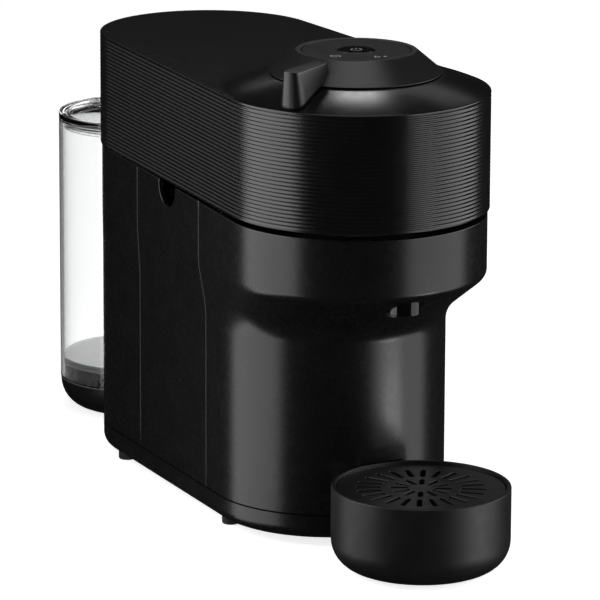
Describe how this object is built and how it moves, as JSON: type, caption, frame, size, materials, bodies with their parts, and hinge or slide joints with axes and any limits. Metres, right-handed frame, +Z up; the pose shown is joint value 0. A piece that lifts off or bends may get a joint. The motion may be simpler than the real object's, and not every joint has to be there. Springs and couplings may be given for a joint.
{
  "type": "pod coffee machine",
  "caption": "Narrow pod coffee machine with a ribbed hinged head, a turning lock lever, a pod bay, a round drip tray in front and a clear water tank behind.",
  "frame": {"origin": "on the floor, under the centre of the whole machine's outline seen from above", "axes": "+Z up, -Y towards the user (drip tray), +Y towards the water tank, +X to the right of a user who faces the machine"},
  "size_m": [0.136, 0.4308, 0.25],
  "materials": {
    "shell_black": "satin moulded plastic with a fine grain",
    "ribbed_black": "satin moulded plastic, ribbed",
    "dial_black": "satin moulded plastic",
    "gloss_black": "polished",
    "clear_plastic": "clear, polished",
    "dark_plastic": "matt moulded plastic",
    "grid_black": "matt",
    "rubber": "matt",
    "steel": "bright",
    "grey_plastic": "as moulded",
    "aluminium": "cast",
    "motor_steel": "plated",
    "board_green": "lacquered"
  },
  "bodies": {
    "chassis": {"base_plate": "shell_black", "front_shell": "shell_black", "left_side_panel": "shell_black", "right_side_panel": "shell_black", "rear_housing": "shell_black", "feet": "rubber", "base_screws": "steel", "cable_gland": "dark_plastic", "inner_frame": "grey_plastic", "bearing_plate": "grey_plastic", "holder_bearing": "steel", "top_deck": "dark_plastic", "used_capsule_bin": "dark_plastic", "drive_motor": "motor_steel", "drive_belt": "rubber", "coffee_collector": "grey_plastic", "coffee_spout": "gloss_black", "water_pump": "motor_steel", "pump_mounts": "rubber", "flow_meter": "grey_plastic", "suction_hose": "rubber", "pump_hose": "rubber", "thermoblock": "aluminium", "pressure_tube": "grey_plastic", "body_brew_tube": "grey_plastic", "control_board": "board_green", "tank_spigot": "grey_plastic", "hinge_bracket": "steel", "hinge_pin": "steel"},
    "capsule_holder": {"capsule_holder": "grey_plastic"},
    "motor_rotor": {"motor_shaft": "steel", "motor_pulley": "grey_plastic"},
    "head": {"head_cover": "ribbed_black", "head_base": "dark_plastic", "head_screws": "steel", "bell_housing": "grey_plastic", "bell_bearing": "steel", "panel_carrier": "grey_plastic", "touch_panel": "gloss_black", "panel_board": "board_green", "button_spring": "steel", "head_brew_tube": "grey_plastic"},
    "brew_bell": {"brew_bell": "grey_plastic", "bell_seal": "rubber"},
    "lock_dial": {"dial_ring": "dial_black", "lock_lever": "dial_black", "lock_collar": "grey_plastic"},
    "start_button": {"start_button": "gloss_black"},
    "water_tank": {"tank_wall": "clear_plastic", "tank_base": "dark_plastic", "tank_dish": "dark_plastic", "tank_catch": "gloss_black", "valve_seat": "grey_plastic", "valve_spring": "steel", "lid_hinge_pin": "steel"},
    "tank_lid": {"tank_lid": "clear_plastic"},
    "tank_valve": {"tank_valve": "grey_plastic"},
    "drip_tray": {"drip_tray": "dark_plastic"},
    "drip_grid": {"drip_grid": "grid_black"}
  },
  "joints": [
    {"name": "head_hinge", "type": "hinge", "parent": "chassis", "child": "head", "pos_m": [0, 0.1202, 0.1715], "axis": [-1, 0, 0], "range_deg": [0, 35]},
    {"name": "lock_turn", "type": "hinge", "parent": "head", "child": "lock_dial", "pos_m": [0, -0.0968, 0.24], "axis": [0, 0, 1], "range_deg": [0, 50]},
    {"name": "start_press", "type": "slide", "parent": "head", "child": "start_button", "axis": [0, 0, -1], "range_m": [0, 0.0012], "stiffness_N_per_m": 400, "springref_m": -0.001, "deforming": ["button_spring"]},
    {"name": "bell_spin", "type": "hinge", "parent": "head", "child": "brew_bell", "pos_m": [0, -0.0968, 0.19], "axis": [0, 0, 1], "continuous": true},
    {"name": "holder_spin", "type": "hinge", "parent": "chassis", "child": "capsule_holder", "pos_m": [0, -0.0968, 0.13], "axis": [0, 0, 1], "continuous": true},
    {"name": "motor_spin", "type": "hinge", "parent": "chassis", "child": "motor_rotor", "pos_m": [0, -0.0348, 0.14], "axis": [0, 0, 1], "continuous": true},
    {"name": "tray_slide", "type": "slide", "parent": "chassis", "child": "drip_tray", "axis": [0, -1, 0], "range_m": [0, 0.08]},
    {"name": "grid_lift", "type": "slide", "parent": "drip_tray", "child": "drip_grid", "axis": [0, 0, 1], "range_m": [0, 0.03]},
    {"name": "tank_slide", "type": "slide", "parent": "chassis", "child": "water_tank", "axis": [0, 1, 0], "range_m": [0, 0.06]},
    {"name": "lid_hinge", "type": "hinge", "parent": "water_tank", "child": "tank_lid", "pos_m": [0, 0.2138, 0.1652], "axis": [-1, 0, 0], "range_deg": [0, 100]},
    {"name": "valve_push", "type": "slide", "parent": "water_tank", "child": "tank_valve", "axis": [0, 1, 0], "range_m": [0, 0.0012], "stiffness_N_per_m": 200, "springref_m": -0.001}
  ],
  "couplings": [
    {"joint": "motor_spin", "follows": "holder_spin", "ratio": 4.25},
    {"joint": "bell_spin", "follows": "holder_spin", "ratio": 1}
  ]
}
